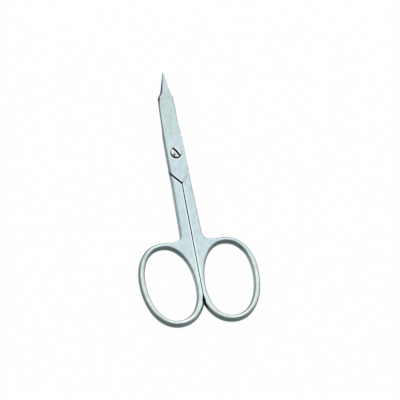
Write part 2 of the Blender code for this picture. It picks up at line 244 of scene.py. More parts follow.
def shoulder_line_x(y, offset):
    """The same line, read the other way."""
    return SHOULDER_HALF_WIDTH - (SHOULDER_Y + offset - y) / math.tan(SHOULDER_ANGLE)


print("tip rise in mm:", in_mm(blade_rise(BLADE_LENGTH)))

# %% One section of the blade
EDGE_THICKNESS = 0.00014
FLANK_DROP = 0.0003
BEVEL_WIDTH = 0.0004
EDGE_SETBACK = 0.00004
HOLLOW_DEPTH = 0.0001
BACK_ROUND = 0.0004
FACET_WIDTH = 0.00055
FACET_SHARE = 0.16
FACET_DEPTH_SHARE = 0.8
INNER_FACE_STEPS = 12
BACK_ROUND_STEPS = 8


def back_edge(y, flank):
    """Distance from the axis to the plate's back edge, which slants to the seam at the shoulder."""
    furthest = -(SEAM_GAP_AT_JOINT / 2 + SHOULDER_ROUND)
    return max(min(half_width(y, flank), shoulder_line_x(y, SHOULDER_OFFSET)), furthest)


def front_edge(y, flank):
    """Distance from the axis to the cutting edge, and below it to the plate's front edge."""
    setback = EDGE_SETBACK * grind_share(y) * half_width(y, flank) / KINK_HALF_WIDTH
    return half_width(y, flank) - setback - blend(0, PLATE_INSET, (SHOULDER_Y - y) / PLATE_OVERLAP)


def blade_section(y, side, up):
    """Loop around the blade at y. side puts the cutting edge on +X or -X, up is 1 or -1."""
    back_flank, edge_flank = (LEFT_FLANK, RIGHT_FLANK)[::side]
    back, front = -back_edge(y, back_flank), front_edge(y, edge_flank)
    width, thick, ground = front - back, blade_thickness(y), grind_share(y)
    narrowing = min(width / (2 * KINK_HALF_WIDTH), 1)
    hollow = HOLLOW_DEPTH * ground * narrowing
    bevel = blend(PLATE_CHAMFER, BEVEL_WIDTH * narrowing, ground)
    edge = blend(thick - PLATE_CHAMFER, EDGE_THICKNESS, ground)
    drop = FLANK_DROP * ground * narrowing
    facet = facet_share(y)
    across = min(blend(BACK_ROUND, FACET_WIDTH, facet), width * FACET_SHARE)
    down = min(blend(BACK_ROUND, thick, facet), thick * FACET_DEPTH_SHARE)
    loop = [(back + width * share, hollow * 4 * share * (1 - share))
            for share in spread(0, 1, INNER_FACE_STEPS)]
    loop.append((front, edge))
    loop.append((front - bevel, thick - drop))
    for share in spread(0, 1, BACK_ROUND_STEPS):
        angle = math.pi / 2 * share
        inset = blend(1 - math.sin(angle), 1 - share, facet)
        depth = blend(1 - math.cos(angle), share, facet)
        loop.append((back + across * inset, thick - down * depth))
    inner_face = MID_HEIGHT + blade_rise(y) + up * BLADE_GAP / 2
    return [Vector((side * x, y, inner_face + up * height)) for x, height in loop]


print("points in one blade section:", len(blade_section(0, 1, 1)))

# %% Building meshes from loops
BLADE_STEP = 0.0006
TOWER_STEP = 0.00015


def mesh_object(name, mesh_data):
    """Wrap a bmesh, drawn around the pivot, in an object that stands on the pivot axis."""
    bmesh.ops.recalc_face_normals(mesh_data, faces=mesh_data.faces)
    bmesh.ops.translate(mesh_data, verts=mesh_data.verts, vec=(pivot.x, pivot.y, 0))
    mesh = bpy.data.meshes.new(name)
    mesh_data.to_mesh(mesh)
    mesh_data.free()
    obj = bpy.data.objects.new(name, mesh)
    bpy.context.scene.collection.objects.link(obj)
    return obj


def bridge(mesh_data, lower, upper):
    """Join two loops of vertices with a band of faces."""
    for index, corner in enumerate(lower):
        after = (index + 1) % len(lower)
        mesh_data.faces.new((corner, lower[after], upper[after], upper[index]))


def blade_stations():
    """The places along Y where the blade's section is drawn."""
    foot = shoulder_line_y(-SEAM_GAP_AT_JOINT / 2 - SHOULDER_ROUND, SHOULDER_OFFSET)
    stops = [(foot - PLATE_OVERLAP, BLADE_LENGTH), (foot, BLADE_LENGTH)]
    stops += [(SHOULDER_Y + SHOULDER_OFFSET, BLADE_LENGTH), (0, BLADE_LENGTH)]
    stops += [(GRIND_LINE_Y, BLADE_LENGTH), (GRIND_LINE_Y + GRIND_STEP_LENGTH, BLADE_STEP)]
    stops += [(KINK_Y, TOWER_STEP), (NECK_Y, BLADE_STEP), (BLADE_LENGTH, BLADE_STEP)]
    places = []
    for (low, longest), (high, _) in zip(stops, stops[1:]):
        places += spread(low, high, math.ceil((high - low) / longest))[:-1]
    return places + [BLADE_LENGTH]


def blade(name, side, up):
    """Blade and joint plate, lofted through the sections along Y."""
    mesh_data = bmesh.new()
    rings = []
    for y in blade_stations():
        rings.append([mesh_data.verts.new(corner) for corner in blade_section(y, side, up)])
    for near, far in zip(rings, rings[1:]):
        bridge(mesh_data, near, far)
    mesh_data.faces.new(rings[0])
    mesh_data.faces.new(rings[-1])
    return mesh_object(name, mesh_data)


print("sections along the blade:", len(blade_stations()))

# %% [markdown]
# ## The shank and the finger bow
# The shank and the bow are one bar of steel. The bar is 3.2 mm thick everywhere, flat on top along the
# shank, and rounded like a ring around the finger hole. A curve with a round bevel could draw the bow,
# but not the web where it runs into the shank. So the outline is drawn once from above, and a rounded
# wall is raised along it. Each outline point carries its own rounding, small along the shank and large
# around the bow, and the change between them is eased.

# %% Shape of the finger hole and the bow
HOLE_WIDTH = 0.01664
HOLE_LENGTH = 0.0256
HOLE_SQUARENESS = 2.15
BOW_DROP = 0.0459
BOW_LEAN = math.radians(4.8)
SEAM_BAND = 0.0016
BOW_WIDTH_OUTSIDE = 0.00212
BOW_WIDTH_INSIDE = 0.00265
BOW_THIN_ANGLE = math.radians(20)
BOW_THIN_REACH = 5
BOW_STEPS = 176


def seam_x(y):
    """Distance from the axis to the flat where the two shanks meet."""
    share = (SHOULDER_Y - y) / (SHOULDER_Y + BOW_DROP)
    return blend(SEAM_GAP_AT_JOINT, SEAM_GAP_AT_BOWS, share) / 2


def hole_shape(angle):
    """Point and outward direction on the finger hole, around its own centre."""
    power = 2 / HOLE_SQUARENESS
    cosine, sine = math.cos(angle), math.sin(angle)
    x = HOLE_WIDTH / 2 * math.copysign(abs(cosine) ** power, cosine)
    y = HOLE_LENGTH / 2 * math.copysign(abs(sine) ** power, sine)
    back_power = 2 - power
    across = math.copysign(abs(cosine) ** back_power, cosine) / HOLE_WIDTH
    along = math.copysign(abs(sine) ** back_power, sine) / HOLE_LENGTH
    lean = Matrix.Rotation(-BOW_LEAN, 2)
    return lean @ Vector((x, y)), (lean @ Vector((across, along))).normalized()


hole_reach = max(-hole_shape(angle)[0].x for angle in spread(0, 2 * math.pi, BOW_STEPS))
bow_centre = Vector((seam_x(-BOW_DROP) + SEAM_BAND + hole_reach, -BOW_DROP))


def bow_width(angle):
    """Width of the bow's metal, even round the outer side and thicker towards the seam."""
    share = (1 - math.cos(angle - BOW_THIN_ANGLE)) / 2
    return blend(BOW_WIDTH_OUTSIDE, BOW_WIDTH_INSIDE, share ** BOW_THIN_REACH)


def bow_outside(angle):
    """Point on the bow's outer edge."""
    point, outward = hole_shape(angle)
    return bow_centre + point + outward * bow_width(angle)


print("middle of the finger hole, out from the axis in mm:", in_mm(bow_centre.x))

# %% Outline of the bow and shank
BOW_BLEND_LENGTH = 0.004
WEB_SLOPE = math.radians(4)
LEAVES_SEAM_BETWEEN = (math.pi, 1.5 * math.pi)
JOINS_WEB_BETWEEN = (2.25 * math.pi, 2.75 * math.pi)
WEB_STEPS = 16
CROTCH_STEPS = 20
SEAM_STEPS = 16
SEARCH_STEPS = 40
# The rounding of an edge is how far it reaches across the top and down the wall.
SHANK_ROUNDING = (SHANK_ROUND, SHANK_ROUND)
SEAM_ROUNDING = (SEAM_ROUND, SEAM_ROUND)
CORNER_ROUNDING = (SHOULDER_ROUND, SHOULDER_ROUND)
BOW_ROUNDING = (0.00096, 0.0012)


def crossing(measure, low, high):
    """Where measure changes sign between low and high, by halving the span."""
    low_is_positive = measure(low) > 0
    for _ in range(SEARCH_STEPS):
        middle = (low + high) / 2
        if (measure(middle) > 0) == low_is_positive:
            low = middle
        else:
            high = middle
    return (low + high) / 2


def eased_rounding(start, end, share):
    """The rounding a share of the way from one edge's to another's."""
    return tuple(blend(first, last, eased(share)) for first, last in zip(start, end))


def seam_side(leave):
    """Down the seam from the shoulder to the bow, which leaves the seam at the angle leave."""
    seam_top_x = SEAM_GAP_AT_JOINT / 2
    seam_top = Vector((seam_top_x, shoulder_line_y(seam_top_x, -SHOULDER_OFFSET)))
    points = [(seam_top, CORNER_ROUNDING), (seam_top - Vector((0, SHANK_ROUND)), SEAM_ROUNDING)]
    for share in spread(0, 1, SEAM_STEPS)[:-1]:
        y = bow_outside(leave).y + BOW_BLEND_LENGTH * (1 - share)
        points.append((Vector((seam_x(y), y)), eased_rounding(SEAM_ROUNDING, BOW_ROUNDING, share)))
    return points


def web_side(web_start, web_out):
    """From the bow along the web, round the crotch and up the shank's straight outer edge."""
    foot = Vector((CROTCH_HALF_WIDTH, HOLE_LENGTH / 2 + BOW_WIDTH_INSIDE - BOW_DROP))
    top = Vector((SHOULDER_HALF_WIDTH, SHOULDER_Y - SHOULDER_OFFSET))
    upward = (top - foot).normalized()
    out = Vector((upward.y, -upward.x))
    centre = foot + out * CROTCH_RADIUS
    centre += upward * ((CROTCH_RADIUS - (centre - web_start).dot(web_out)) / upward.dot(web_out))
    arm = web_out * -CROTCH_RADIUS
    sweep = arm.angle_signed(-out)
    points = [(web_start.lerp(centre + arm, share), eased_rounding(BOW_ROUNDING, SHANK_ROUNDING, share))
              for share in spread(0, 1, WEB_STEPS)[1:-1]]
    points += [(centre + Matrix.Rotation(-sweep * share, 2) @ arm, SHANK_ROUNDING)
               for share in spread(0, 1, CROTCH_STEPS)]
    return points + [(top - upward * SHANK_ROUND * 2, SHANK_ROUNDING), (top, CORNER_ROUNDING)]


def handle_outline():
    """The handle's outer loop, anticlockwise, each point with its edge rounding across and down."""
    web_out = Vector((-math.sin(WEB_SLOPE), math.cos(WEB_SLOPE)))
    leave = crossing(lambda a: bow_outside(a).x - seam_x(bow_outside(a).y), *LEAVES_SEAM_BETWEEN)
    join = crossing(lambda a: hole_shape(a)[1].cross(web_out), *JOINS_WEB_BETWEEN)
    bow = [(bow_outside(angle), BOW_ROUNDING) for angle in spread(leave, join, BOW_STEPS)]
    return seam_side(leave) + bow + web_side(bow_outside(join), web_out)


def finger_hole():
    """The finger hole's loop, clockwise, so that its outward side faces into the hole."""
    angles = spread(2 * math.pi, 0, BOW_STEPS)[:-1]
    return [(bow_centre + hole_shape(angle)[0], BOW_ROUNDING) for angle in angles]


print("points around the handle:", len(handle_outline()))
print("points around the finger hole:", len(finger_hole()))

# %% [markdown]
# ## Rounded walls
# A belt takes an edge down to something between a quarter circle and a straight bevel. A Bevel
# modifier could do that, but its width would have to be steered by a weight on every edge. Here the
# wall is built as rings, one above the other, that step in towards both faces. EDGE_FLATNESS is the
# power that shapes the steps, where 1 would give the quarter circle and 2 the straight bevel.

# %% Raise the rounded walls and close the faces
ROUND_STEPS = 9
EDGE_FLATNESS = 1.5


def mitres(points):
    """Direction and length that move each corner outwards by one unit."""
    moves = []
    for index, point in enumerate(points):
        before = (point - points[index - 1]).normalized()
        after = (points[(index + 1) % len(points)] - point).normalized()
        first, second = Vector((before.y, -before.x)), Vector((after.y, -after.x))
        moves.append((first + second) / (1 + first.dot(second)))
    return moves


def rounded_wall(mesh_data, loop, side):
    """Raise a loop into a wall with rounded edges, and return its bottom and top vertices."""
    points = [Vector((side * point.x, point.y)) for point, _ in loop]
    roundings = [rounding for _, rounding in loop]
    if side < 0:
        points.reverse()
        roundings.reverse()
    moves = mitres(points)
    levels = []
    for face in (-1, 1):
        for angle in spread(0, math.pi / 2, ROUND_STEPS)[::face]:
            ring = []
            inset, rise = 1 - math.cos(angle) ** EDGE_FLATNESS, math.sin(angle) ** EDGE_FLATNESS
            for point, move, (across, down) in zip(points, moves, roundings):
                spot = point - move * across * inset
                height = MID_HEIGHT + face * (MID_HEIGHT - down + down * rise)
                ring.append(mesh_data.verts.new((spot.x, spot.y, height)))
            levels.append(ring)
    for lower, upper in zip(levels, levels[1:]):
        bridge(mesh_data, lower, upper)
    return levels[0], levels[-1]


def handle(name, side):
    """Shank and finger bow as one slab with rounded edges, pierced by the finger hole."""
    mesh_data = bmesh.new()
    walls = [rounded_wall(mesh_data, loop, side) for loop in (handle_outline(), finger_hole())]
    for face in (0, 1):
        rims = [wall[face] for wall in walls]
        pairs = [(rim[index - 1], rim[index]) for rim in rims for index in range(len(rim))]
        edges = [mesh_data.edges.get(pair) for pair in pairs]
        bmesh.ops.triangle_fill(mesh_data, edges=edges, use_beauty=True, normal=(0, 0, 2 * face - 1))
    return mesh_object(name, mesh_data)


print("rounding drawn in steps of degrees:", 90 / ROUND_STEPS)

# %% [markdown]
# ## The screw and its seat
# The pivot is a slotted screw with a low domed head that sits in a shallow counterbore, turns freely
# in the upper half, and is threaded into the lower half. Anything turned on a lathe is easiest to draw
# as half of its outline and spin. The same helper makes the two cutters that bore the halves.

# %% Turned shapes
HEAD_DIAMETER = 0.0038
HEAD_RISE = 0.00095
HEAD_CROWN = 0.00015
HEAD_EDGE_ROUND = 0.0004
RECESS_DEPTH = 0.00045
RECESS_CLEARANCE = 0.00018
NECK_DIAMETER = 0.0027
THREAD_DIAMETER = 0.0023
RUNNING_CLEARANCE = 0.00006
SEAT_CLEARANCE = 0.00004
SCREW_END_INSET = 0.00012
SCREW_END_CHAMFER = 0.0002
SLOT_WIDTH = 0.0007
SLOT_DEPTH = 0.0007
SLOT_ANGLE = math.radians(-57.4)
CUT_OVERRUN = 0.001
TURNING_STEPS = 128
DOME_STEPS = 12

RECESS_FLOOR = PLATE_TOP - RECESS_DEPTH
SEAT_RADIUS = HEAD_DIAMETER / 2 + RECESS_CLEARANCE


def turned(name, profile):
    """Solid of revolution about the pivot axis, from a profile of radius and height."""
    mesh_data = bmesh.new()
    rings = []
    for radius, height in profile:
        angles = spread(0, 2 * math.pi, TURNING_STEPS)[:-1]
        rings.append([mesh_data.verts.new((radius * math.cos(angle), radius * math.sin(angle), height))
                      for angle in angles])
    for lower, upper in zip(rings, rings[1:]):
        bridge(mesh_data, lower, upper)
    mesh_data.faces.new(rings[0])
    mesh_data.faces.new(rings[-1])
    return mesh_object(name, mesh_data)


def screw_profile():
    """The screw's outline from its end to the crown of its head."""
    end, thread, head = PLATE_RELIEF + SCREW_END_INSET, THREAD_DIAMETER / 2, HEAD_DIAMETER / 2
    thread_top = MID_HEIGHT - BLADE_GAP / 2 + SEAT_CLEARANCE
    head_bottom = RECESS_FLOOR + SEAT_CLEARANCE
    rim = PLATE_TOP + HEAD_RISE - HEAD_CROWN
    dome = head - HEAD_EDGE_ROUND
    profile = [(thread - SCREW_END_CHAMFER, end), (thread, end + SCREW_END_CHAMFER)]
    profile += [(thread, thread_top), (NECK_DIAMETER / 2, thread_top)]
    profile += [(NECK_DIAMETER / 2, head_bottom), (head, head_bottom)]
    for angle in spread(0, math.pi / 2, ROUND_STEPS):
        across = head - HEAD_EDGE_ROUND * (1 - math.cos(angle))
        profile.append((across, rim - HEAD_EDGE_ROUND * (1 - math.sin(angle))))
    for share in spread(0, 1, DOME_STEPS)[1:-1]:
        profile.append((dome * (1 - share), rim + HEAD_CROWN * (1 - (1 - share) ** 2)))
    return profile


print("points on the screw's outline:", len(screw_profile()))

# %% [markdown]
# ## Joining and cutting
# On the real half the blade, plate, shank and bow are one piece of steel. The blade and the handle
# could be left overlapping, but then faces would stay hidden inside the steel. So the lofted blade is
# welded to the handle with a Boolean union, and the holes are bored with a Boolean difference. The
# result is made final at once and the helper shapes are deleted, so that nothing is left over. The
# weighted normals at the end let the large flat faces decide the shading where they meet a small
# rounding, which keeps the flats flat.

# %% Weld, bore and smooth
SMOOTH_ANGLE = math.radians(32)
FLATS_WEIGHT = 80


def combined(obj, tool, operation):
    """Add or cut a helper shape, keep the finished mesh and delete the helper."""
    modifier = obj.modifiers.new(tool.name, "BOOLEAN")
    modifier.operation = operation
    modifier.solver = "EXACT"
    modifier.object = tool
    depsgraph = bpy.context.evaluated_depsgraph_get()
    rough = obj.data
    obj.data = bpy.data.meshes.new_from_object(obj.evaluated_get(depsgraph))
    obj.modifiers.clear()
    bpy.data.meshes.remove(rough)
    bpy.data.meshes.remove(tool.data)
    return obj


def smoothed(obj):
    """Smooth shading with crisp ground edges, decided by the larger faces."""
    obj.data.shade_smooth()
    obj.data.set_sharp_from_angle(angle=SMOOTH_ANGLE)
    modifier = obj.modifiers.new("flats_decide", "WEIGHTED_NORMAL")
    modifier.keep_sharp = True
    modifier.weight = FLATS_WEIGHT
    return obj


def fine_upper_half():
    """Top blade with the right-hand shank and bow, bored for the screw's neck and head."""
    half = combined(handle("upper_half_fine", 1), blade("upper_blade_tool", 1, 1), "UNION")
    neck, top = NECK_DIAMETER / 2 + RUNNING_CLEARANCE, BAR_THICKNESS + CUT_OVERRUN
    seat = [(neck, -CUT_OVERRUN), (neck, RECESS_FLOOR), (SEAT_RADIUS, RECESS_FLOOR), (SEAT_RADIUS, top)]
    return smoothed(combined(half, turned("screw_seat_tool", seat), "DIFFERENCE"))


def fine_lower_half():
    """Bottom blade with the left-hand shank and bow, and the screw's threaded hole."""
    half = combined(handle("lower_half_fine", -1), blade("lower_blade_tool", -1, -1), "UNION")
    thread = THREAD_DIAMETER / 2 + RUNNING_CLEARANCE
    tapping = [(thread, -CUT_OVERRUN), (thread, BAR_THICKNESS)]
    return smoothed(combined(half, turned("thread_tool", tapping), "DIFFERENCE"))


def fine_pivot_screw():
    """Turned screw with a plain neck, a low domed head and a driver slot."""
    slot_data = bmesh.new()
    bmesh.ops.create_cube(slot_data, size=1)
    size = Vector((HEAD_DIAMETER + CUT_OVERRUN, SLOT_WIDTH, SLOT_DEPTH + CUT_OVERRUN))
    bmesh.ops.scale(slot_data, verts=slot_data.verts, vec=size)
    middle = PLATE_TOP + HEAD_RISE - SLOT_DEPTH + size.z / 2
    bmesh.ops.translate(slot_data, verts=slot_data.verts, vec=(0, 0, middle))
    bmesh.ops.rotate(slot_data, verts=slot_data.verts, matrix=Matrix.Rotation(SLOT_ANGLE, 3, "Z"))
    slot = mesh_object("slot_tool", slot_data)
    return smoothed(combined(turned("pivot_screw_fine", screw_profile()), slot, "DIFFERENCE"))


upper_half, lower_half, pivot_screw = fine_upper_half(), fine_lower_half(), fine_pivot_screw()
for obj in (upper_half, lower_half, pivot_screw):
    print(obj.name, "faces:", len(obj.data.polygons))

# %% Attach each fine piece to its body and hide its CAD node
TWINS = [(upper_half, "upper", "upper_half", "upper_half_steel"),
         (lower_half, "lower", "lower_half", "lower_half_steel"),
         (pivot_screw, "lower", "pivot_screw", "screw_steel")]
for fine, body, node, slot_name in TWINS:
    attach(fine, body)
    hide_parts(node)
    node_low, node_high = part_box(node)
    print(node, "size in mm:", [in_mm(extent) for extent in node_high - node_low])

# %% [markdown]
# ## Colours, nodes and shares
# Colours are written as the hex values that a paint program shows, and one function turns them into
# the linear values that shaders use. A second small function adds any node with its settings, values
# and links, so that each material below reads as a list of what feeds what. Where a finish lies is
# always a share, from 0 for nowhere to 1 for fully. Shares are combined, and finishes are laid over
# each other like coats of paint, the last one on top.

# %% Colour and node helpers
def linear(hex_color):
    """An sRGB hex colour as linear red, green, blue and alpha."""
    levels = [int(hex_color[index:index + 2], 16) / 255 for index in (1, 3, 5)]
    toned = [level / 12.92 if level <= 0.04045 else ((level + 0.055) / 1.055) ** 2.4 for level in levels]
    return (*toned, 1)


def add_node(tree, kind, settings=None, inputs=None):
    """Add one shader node, set its properties, and give each input its value or its link."""
    node = tree.nodes.new(kind)
    for name, value in (settings or {}).items():
        setattr(node, name, value)
    for name, value in (inputs or {}).items():
        if isinstance(value, bpy.types.NodeSocket):
            tree.links.new(value, node.inputs[name])
        else:
            node.inputs[name].default_value = value
    return node


def new_material(name):
    """An empty node material and the tree to fill."""
    material = bpy.data.materials.new(name)
    material.use_nodes = True
    material.node_tree.nodes.clear()
    return material, material.node_tree


print("hex #808080 in linear values:", [round(level, 3) for level in linear("#808080")[:3]])

# %% Shares and layers
MIX_SHARE, MIX_FIRST_LEVEL, MIX_SECOND_LEVEL, MIX_FIRST_COLOR, MIX_SECOND_COLOR = 0, 2, 3, 6, 7
MIX_LEVEL, MIX_COLOR = 0, 2


def share_between(tree, value, none, full):
    """0 at the value none, 1 at full, eased in between. Either of them may be the larger."""
    return add_node(tree, "ShaderNodeMapRange", {"interpolation_type": "SMOOTHSTEP"},
                    {"Value": value, "From Min": none, "From Max": full}).outputs[0]


def all_of(tree, shares):
    """Several shares or numbers multiplied: 1 only where every one of them is 1."""
    product = shares[0]
    for share in shares[1:]:
        product = add_node(tree, "ShaderNodeMath", {"operation": "MULTIPLY"},
                           {0: product, 1: share}).outputs[0]
    return product


def most_of(tree, shares):
    """The largest of several shares."""
    most = shares[0]
    for share in shares[1:]:
        most = add_node(tree, "ShaderNodeMath", {"operation": "MAXIMUM"}, {0: most, 1: share}).outputs[0]
    return most


def layered(tree, color, layers):
    """A colour with finishes laid over it one after the other, each as far as its share says."""
    for finish, share in layers:
        color = add_node(tree, "ShaderNodeMix", {"data_type": "RGBA"}, {
            MIX_SHARE: share, MIX_FIRST_COLOR: color, MIX_SECOND_COLOR: finish}).outputs[MIX_COLOR]
    return color


print("a Mix node's sockets for levels:", MIX_FIRST_LEVEL, MIX_SECOND_LEVEL,
      "and for colours:", MIX_FIRST_COLOR, MIX_SECOND_COLOR)

# %% [markdown]
# ## Flats and walls
# The flats get a bright tone and the side walls a dark one. The dark tone is painted shade: walls that
# face sideways are painted darker than faces that look up. It could be two materials with faces assigned
# by hand, but on the rounded bows the change has to be gradual. So the height of the surface normal
# decides: it is 1 on a flat and 0 on a wall, and a smooth step between two levels mixes the tones. The
# bows have levels of their own, so that the bright tone reaches further down their rounded sides than on
# the shanks.

# %% Tell flats from walls
# Below the first level of normal height a surface gets the walls' painted shade, above the second the
# flats' tone.
SHANK_LEVELS = (0.55, 0.97)
BOW_LEVELS = (0.55, 0.76)


def flat_share(tree, levels):
    """1 where the surface lies level, 0 on a side wall, for the two levels of wall and flat."""
    normal = add_node(tree, "ShaderNodeTexCoord").outputs["Normal"]
    height = add_node(tree, "ShaderNodeSeparateXYZ", inputs={"Vector": normal}).outputs["Z"]
    level = add_node(tree, "ShaderNodeMath", {"operation": "ABSOLUTE"}, {0: height}).outputs[0]
    return share_between(tree, level, *levels)


def facing_up_share(tree, off_bows):
    """How much a surface faces up, which sets its painted shade and its roughness: by the bows' levels,
    and beyond the crotch by the shanks'.
    """
    return add_node(tree, "ShaderNodeMix", inputs={
        MIX_SHARE: off_bows, MIX_FIRST_LEVEL: flat_share(tree, BOW_LEVELS),
        MIX_SECOND_LEVEL: flat_share(tree, SHANK_LEVELS)}).outputs[MIX_LEVEL]


# Up to this lean a surface keeps the flats' tone; steeper ones get the walls' painted shade.
for piece, (_, flat_level) in (("shank", SHANK_LEVELS), ("bow", BOW_LEVELS)):
    print("ground on the", piece, "up to a lean of degrees:", round(math.degrees(math.acos(flat_level))))

# %% [markdown]
# ## Places on the scissors
# What happened to the steel depends on where it is: how far along the scissors, how far out from the
# seam, how deep below a face. Vertex colours could hold that, but they would be only as fine as the
# mesh. Here the places are worked out from the position, measured from the middle of the joint. Both
# halves are one drawing, so the distance outwards counts alike on both. The shoulder's slit lies at -X
# on top and at +X underneath, and on the other side of the axis the steel runs on.

# %% Places measured from the joint
def measured_from_joint(tree, place):
    """Sockets that say where a point is: X, Y and Z from the joint's middle, outwards, and its side."""
    middle = (pivot.x, pivot.y, MID_HEIGHT)
    local = add_node(tree, "ShaderNodeVectorMath", {"operation": "SUBTRACT"}, {0: place, 1: middle})
    axes = add_node(tree, "ShaderNodeSeparateXYZ", inputs={"Vector": local.outputs[0]}).outputs
    where = {name: axes[name] for name in ("X", "Y", "Z")}
    outwards = add_node(tree, "ShaderNodeMath", {"operation": "ABSOLUTE"}, {0: axes["X"]})
    where["outwards"] = outwards.outputs[0]
    turned_side = all_of(tree, [axes["X"], axes["Z"]])
    for name, comparison in (("slit_side", "LESS_THAN"), ("steel_side", "GREATER_THAN")):
        side = add_node(tree, "ShaderNodeMath", {"operation": comparison}, {0: turned_side, 1: 0})
        where[name] = side.outputs[0]
    return where


def shoulder_distance(tree, where):
    """Distance from the slanting shoulder line, alike on both sides, negative towards the bows."""
    folded = add_node(tree, "ShaderNodeCombineXYZ",
                      inputs={"X": where["outwards"], "Y": where["Y"]}).outputs[0]
    from_corner = add_node(tree, "ShaderNodeVectorMath", {"operation": "SUBTRACT"},
                           {0: folded, 1: (SHOULDER_HALF_WIDTH, SHOULDER_Y, 0)}).outputs[0]
    across_line = (-math.sin(SHOULDER_ANGLE), math.cos(SHOULDER_ANGLE), 0)
    return add_node(tree, "ShaderNodeVectorMath", {"operation": "DOT_PRODUCT"},
                    {0: from_corner, 1: across_line}).outputs["Value"]


print("middle of the joint in mm:", [in_mm(level) for level in (pivot.x, pivot.y, MID_HEIGHT)])

# %% [markdown]
# ## Satin-ground faces
# The halves are hardened stainless steel, forged and then ground on a fine belt. The belt leaves an even
# satin that mirrors the sky as one pale tone with a cool cast. The bows are given the palest tone.
# Beyond the grind line the blade has been ground once more and is a touch greener, in patches that drift
# over the joint too, and the tower point is the bluest. An image of brushed steel could be laid on, but
# a noise that is worked out from the position has no seams and never stretches.
# So the grain is a noise drawn out along the scissors. Real grit lines lie 0.02 mm apart, too fine for
# a picture with 3 pixels to the millimetre, so they are drawn coarser. A second, rounder noise is the
# slight cloudiness that handling leaves.

# %% Ground tones, grain and clouds
JOINT_TONE = linear("#ccdfe3")
BLADE_TONE = linear("#c8dada")
TIP_TONE = linear("#cadee3")
BOW_TONE = linear("#dfecec")
BOWS_BEGIN_Y = -30.5 * MILLIMETRE
BOWS_BEGIN_RUN = 2 * MILLIMETRE
TINT_SIZE = 2.6 * MILLIMETRE
TINT_DETAIL = 1
TINT_DRIFT = 1.6
GRIT_SPACING = 0.02 * MILLIMETRE
GRAIN_SPACING = 0.35 * MILLIMETRE
GRAIN_LENGTH = 3.5 * MILLIMETRE
GRAIN_DEPTH = 0.006 * MILLIMETRE
GRAIN_DETAIL = 3
GRAIN_BREAKUP = 0.6
CLOUD_SIZE = 1.8 * MILLIMETRE
CLOUD_DETAIL = 2
CLOUD_CONTRAST = 0.38


def belt_grain(tree, place):
    """Fine lines along the scissors, as a value around one half."""
    scale = (1 / GRAIN_SPACING, 1 / GRAIN_LENGTH, 1 / GRAIN_SPACING)
    drawn_out = add_node(tree, "ShaderNodeMapping", inputs={"Vector": place, "Scale": scale}).outputs[0]
    return add_node(tree, "ShaderNodeTexNoise", inputs={
        "Vector": drawn_out, "Scale": 1, "Detail": GRAIN_DETAIL, "Roughness": GRAIN_BREAKUP}).outputs[0]


def ground_tone(tree, place, where):
    """The tone of the ground faces: bows, then shanks and joint, then the blade and its point."""
    patches = add_node(tree, "ShaderNodeTexNoise", inputs={
        "Vector": place, "Scale": 1 / TINT_SIZE, "Detail": TINT_DETAIL}).outputs[0]
    drift = add_node(tree, "ShaderNodeMapRange", {"clamp": False}, {
        "Value": patches, "To Min": -TINT_DRIFT / 2, "To Max": TINT_DRIFT / 2}).outputs[0]
    past_line = share_between(tree, where["Y"], GRIND_LINE_Y, GRIND_LINE_Y + GRIND_STEP_LENGTH)
    on_blade = add_node(tree, "ShaderNodeMath", {"operation": "ADD", "use_clamp": True},
                        {0: past_line, 1: drift}).outputs[0]
    on_point = share_between(tree, where["Y"], KINK_Y, NECK_Y)
    on_bow = share_between(tree, where["Y"], BOWS_BEGIN_Y - BOWS_BEGIN_RUN, -BOW_DROP)
    return layered(tree, JOINT_TONE, [(BLADE_TONE, on_blade), (TIP_TONE, on_point), (BOW_TONE, on_bow)])


def clouded(tree, tone, place, grain):
    """The tone, made lighter and darker by the grain and by soft clouds."""
    clouds = add_node(tree, "ShaderNodeTexNoise", inputs={
        "Vector": place, "Scale": 1 / CLOUD_SIZE, "Detail": CLOUD_DETAIL}).outputs[0]
    mottle = add_node(tree, "ShaderNodeMath", {"operation": "ADD"}, {0: grain, 1: clouds}).outputs[0]
    shade = add_node(tree, "ShaderNodeMapRange", {"clamp": False}, {
        "Value": mottle, "From Max": 2,
        "To Min": 1 - CLOUD_CONTRAST, "To Max": 1 + CLOUD_CONTRAST}).outputs[0]
    return add_node(tree, "ShaderNodeHueSaturation", inputs={"Color": tone, "Value": shade}).outputs[0]


print("grain is coarser than real grit by a factor of", round(GRAIN_SPACING / GRIT_SPACING, 1))
print("tones drift over patches of mm:", in_mm(TINT_SIZE))

# %% [markdown]
# ## Painted shade on the walls
# The side walls are painted darker than the flats, as painted shade, and their roughness is duller. The
# painted shade changes along the scissors, from the light walls of the shanks to the dark notch of the
# tower point. Several materials could do that, but one colour ramp along the scissors changes smoothly.
# On the two sides of each finger hole, the walls that face along X towards its middle get a lighter
# tone, as painted light.

# %% Painted shade and painted light on the walls
# Painted shade: darker tones for the side walls, from the bows up to the tower point.
BOW_WALL_SHADE = linear("#697b79")
SHANK_WALL_SHADE = linear("#8f9ea0")
JOINT_WALL_SHADE = linear("#778689")
BLADE_WALL_SHADE = linear("#626d6e")
NOTCH_SHADE = linear("#58605f")
# Painted light: a lighter tone on the walls inside the finger holes that face along X.
PAINTED_LIT_WALL_TONE = linear("#a6b4b3")
LIT_WALL_LEVELS = (0.77, 0.9)
JOINT_WALL_RUN = 2 * MILLIMETRE
WALL_SHADES = [(BOWS_BEGIN_Y - BOWS_BEGIN_RUN, BOW_WALL_SHADE), (BOWS_BEGIN_Y, SHANK_WALL_SHADE),
              (SHOULDER_Y - JOINT_WALL_RUN, SHANK_WALL_SHADE), (SHOULDER_Y, JOINT_WALL_SHADE),
              (GRIND_LINE_Y, JOINT_WALL_SHADE), (GRIND_LINE_Y + BEVEL_RUN, BLADE_WALL_SHADE),
              (KINK_Y - FACET_RUN, BLADE_WALL_SHADE), (KINK_Y, NOTCH_SHADE)]


